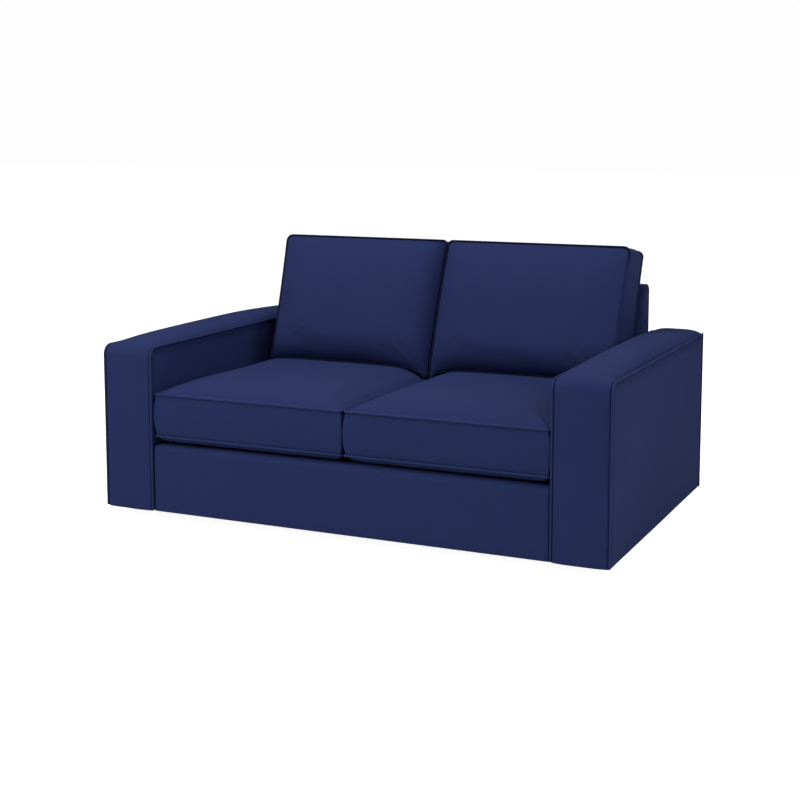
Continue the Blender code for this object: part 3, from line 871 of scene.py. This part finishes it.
for row in SIDES:
    name = f"case_seat_{row['name']}"
    middle_x = row["side"] * SEAT_MIDDLE_X
    block = cushion_block(name, (60, 66, 12))

    def seat_place(a, b, c, on_panel):
        level = (c + 1) / 2
        y = SEAT_FRONT_Y + SEAT_DEPTH / 2 * (1 + b)
        sink = SEAT_SINK * ((b + 1) / 2) ** 2
        z = SEAT_BOTTOM_SEAM + (SEAT_TOP_SEAM - SEAT_BOTTOM_SEAM - sink) * level
        x = middle_x + SEAT_HALF_X * a
        x += SEAT_SHIFT * (1 - abs(x) / INNER_X)
        if on_panel and c > 0:
            z += SEAT_CROWN * panel_fill(CROWN, a, b)
        elif on_panel:
            z -= SEAT_DROP * panel_fill(DROP, a, b)
        else:
            swell = SEAT_SWELL * hump(level)
            x += swell * a
            y += swell * b
        return x, y, z

    local = shape_cushion(block, SEAT_HALF_X, SEAT_DEPTH / 2, SEAT_TOP_SEAM - SEAT_BOTTOM_SEAM, seat_place)
    fill_cushion(block)
    for vertex in block.data.vertices:
        vertex.co.z = max(vertex.co.z, HEM_Z + SEAT_REST)
    seat_seams[row["name"]] = {"top": seam_line(block, local, 1), "bottom": seam_line(block, local, -1)}
    finish_cushion(block, cushion_cloth)
    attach(block, "root")
    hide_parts(f"seat_cushion_{row['name']}")


# ---- Seat cushion piping
# Cloth-covered cord in the top and bottom seams of each seat cushion, all the way round. It is sewn in
# between the panel and the boxing strip, and stands a little proud of both.


def cushion_piping(name, seam, material, replaced, stand):
    """Piping along a cushion's seam, its middle this far outside the seam."""
    shift = Vector((0.0, FRONT_Y, HEM_Z))
    points = [spot + normal * stand - shift for spot, normal in seam]
    piping_cord(name, points, material, replaced, closed=True)


for row in SIDES:
    for level in ("top", "bottom"):
        cushion_piping(f"cord_seat_{level}_{row['name']}", seat_seams[row["name"]][level], piping_cloth,
                       f"seat_piping_{level}_{row['name']}", stand=0.7 * PIPING)


# ---- Back cushions
# Two boxed and piped cushions, softer than the seats, that stand on them and lean on the inside back.
# Their sides draw in a little between the corners. Their seams' ends are given as (y, z).
FRONT_BOTTOM, FRONT_TOP = Vector((0.624, 0.395)), Vector((0.8205, 0.8120))
REAR_BOTTOM, REAR_TOP = Vector((0.830, 0.398)), Vector((0.970, 0.786))
# x of their inner sides, and of each one's outer side at the top and at the bottom
BACK_INNER = 0.0058
BACK_CUSHIONS = (
    {"name": "left", "side": -1, "top": 0.6160, "bottom": 0.5790},
    {"name": "right", "side": 1, "top": 0.6360, "bottom": 0.6380},
)
BACK_BOXING = 0.17
TOP_CORNER, NOTCH_CORNER, FOOT_CORNER = 0.020, 0.012, 0.007
# share of the way from the middle to the seam -> share of the front's full swell
BACK_CROWN = ((0.0, 1.0), (0.4, 0.99), (0.62, 0.93), (0.78, 0.79), (0.88, 0.60), (0.95, 0.38), (1.0, 0.0))
BACK_SWELL, REAR_SWELL = 0.044, 0.008
OUTER_SWELL, INNER_SWELL, TOP_SWELL = 0.008, 0.001, 0.003
SIDE_DRAW = 0.003
# how far the filling has settled, down and to the left
SETTLE = 0.25
# how high the lower front seam stands above the seat's crown, and how far it drops beside the crown
FOOT_STAND, FOOT_DROP = 0.0085, 0.018
# how far the shade above the seat and beside the split reaches, and how dark it gets; the boxing is lighter
FOOT_REACH, FOOT_SHADE = 0.13, 0.50
CREVICE_REACH, CREVICE_SHADE = 0.075, 0.55
BOXING_SHADE = -0.15
# how far to the right the split stands, with more of it low down and less of it high up
SPLIT_SHIFT, SPLIT_LEAN = 0.002, 0.010
SPLIT_GAP = 0.0005
BACK_HALF_X = 0.64
back_cushion_cloth = woven_cloth("navy_back_cushion_cloth", "#1e274e")
back_seams = {}


def seat_top_at(x, y):
    """Height of the seat cushions' crown."""
    a = (abs(x) - SEAT_MIDDLE_X) / SEAT_HALF_X
    b = (y - SEAT_FRONT_Y) / (SEAT_DEPTH / 2) - 1
    return SEAT_TOP_SEAM + SEAT_CROWN * panel_fill(CROWN, a, b) - SEAT_SINK * ((b + 1) / 2) ** 2


for row in BACK_CUSHIONS:
    name = f"case_back_{row['name']}"
    side = row["side"]
    height = (FRONT_TOP - FRONT_BOTTOM).length
    along = (FRONT_TOP - FRONT_BOTTOM).normalized()
    forward = Vector((-along.y, along.x))
    half_a = (row["top"] - BACK_INNER) / 2
    block = cushion_block(name, (56, 46, 14))

    def back_place(a, b, c, on_panel):
        # the corners are rounded: points near one are drawn in onto its arc
        flat_a, flat_b = a * half_a, b * height / 2
        corner = FOOT_CORNER if b < 0 else NOTCH_CORNER if a * side < 0 else TOP_CORNER
        over_a = abs(flat_a) - (half_a - corner)
        over_b = abs(flat_b) - (height / 2 - corner)
        if over_a > 0 and over_b > 0:
            far = max(over_a, over_b)
            shrink = far / math.hypot(over_a, over_b)
            flat_a = math.copysign(half_a - corner + over_a * shrink, flat_a)
            flat_b = math.copysign(height / 2 - corner + over_b * shrink, flat_b)
        level = (c + 1) / 2
        out = 0.0
        if on_panel and c > 0:
            # fullest low down and a little to the left, where the filling has settled
            low_b = b + SETTLE * (1 - b * b)
            left_a = a + SETTLE * (1 - a * a)
            out = BACK_SWELL * filled(BACK_CROWN, left_a) * filled(BACK_CROWN, low_b)
        elif on_panel:
            out = -REAR_SWELL * panel_fill(DROP, a, b)
        else:
            flat_a += (INNER_SWELL if a * side < 0 else OUTER_SWELL) * hump(level) * a
            flat_b += TOP_SWELL * hump(level) * b
        up = (flat_b + height / 2) / height
        across = (flat_a + half_a) / (2 * half_a)
        outer = row["bottom"] + (row["top"] - row["bottom"]) * up - SIDE_DRAW * hump(up)
        x = BACK_INNER + (outer - BACK_INNER) * (across if side > 0 else 1 - across)
        spot = REAR_BOTTOM.lerp(REAR_TOP, up).lerp(FRONT_BOTTOM.lerp(FRONT_TOP, up), level) + forward * out
        # the foot follows the crown of the seat that it stands on
        lift = max(seat_top_at(x, FRONT_BOTTOM.x) + FOOT_STAND - FRONT_BOTTOM.y, -FOOT_DROP)
        return side * x, spot.x, spot.y + lift * (1 - min(up, 1.0)) ** 2

    local = shape_cushion(block, half_a, height / 2, BACK_BOXING, back_place)

    # the nap makes the boxing lighter; the cloth is darker down by the seat and where the left cushion
    # meets the right one
    shades = []
    for a, b, c in local:
        foot = max(1 - (1 + b) * height / 2 / FOOT_REACH, 0.0) ** 1.5
        crevice = max(1 - (1 - a) * half_a / CREVICE_REACH, 0.0) ** 1.5 if side < 0 else 0.0
        on_panel = abs(c) > 0.99999
        shades.append(max(FOOT_SHADE * foot, CREVICE_SHADE * crevice) if on_panel else BOXING_SHADE)
    note_points(block.data, "shade", shades)
    fill_cushion(block)
    for vertex in block.data.vertices:
        spot = vertex.co
        low = (HEM_Z + FRONT_TOP.y - spot.z) / (FRONT_TOP.y - FRONT_BOTTOM.y)
        spot.x = side * max(side * spot.x, SPLIT_GAP)
        spot.x += (SPLIT_SHIFT + SPLIT_LEAN * low * abs(low)) * (1 - abs(spot.x) / BACK_HALF_X)
    back_seams[row["name"]] = {"front": seam_line(block, local, 1), "rear": seam_line(block, local, -1)}
    finish_cushion(block, back_cushion_cloth)
    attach(block, "root")
    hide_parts(f"back_cushion_{row['name']}")


# ---- Back cushion piping
# Cloth-covered cord in the front and rear seams of each back cushion, all the way round. It is darker than
# the cases, but for the right cushion's outer side, and lies half sunk in the seam.
dark_piping_cloth = bias_cloth(
    "dark_navy_piping_cloth", "#19224a", gloss=0.05, light_from=0.60, light_below=0.10,
)
for row in BACK_CUSHIONS:
    for level in ("front", "rear"):
        cushion_piping(f"cord_back_{level}_{row['name']}", back_seams[row["name"]][level],
                       dark_piping_cloth, f"back_piping_{level}_{row['name']}", stand=0.5 * PIPING)
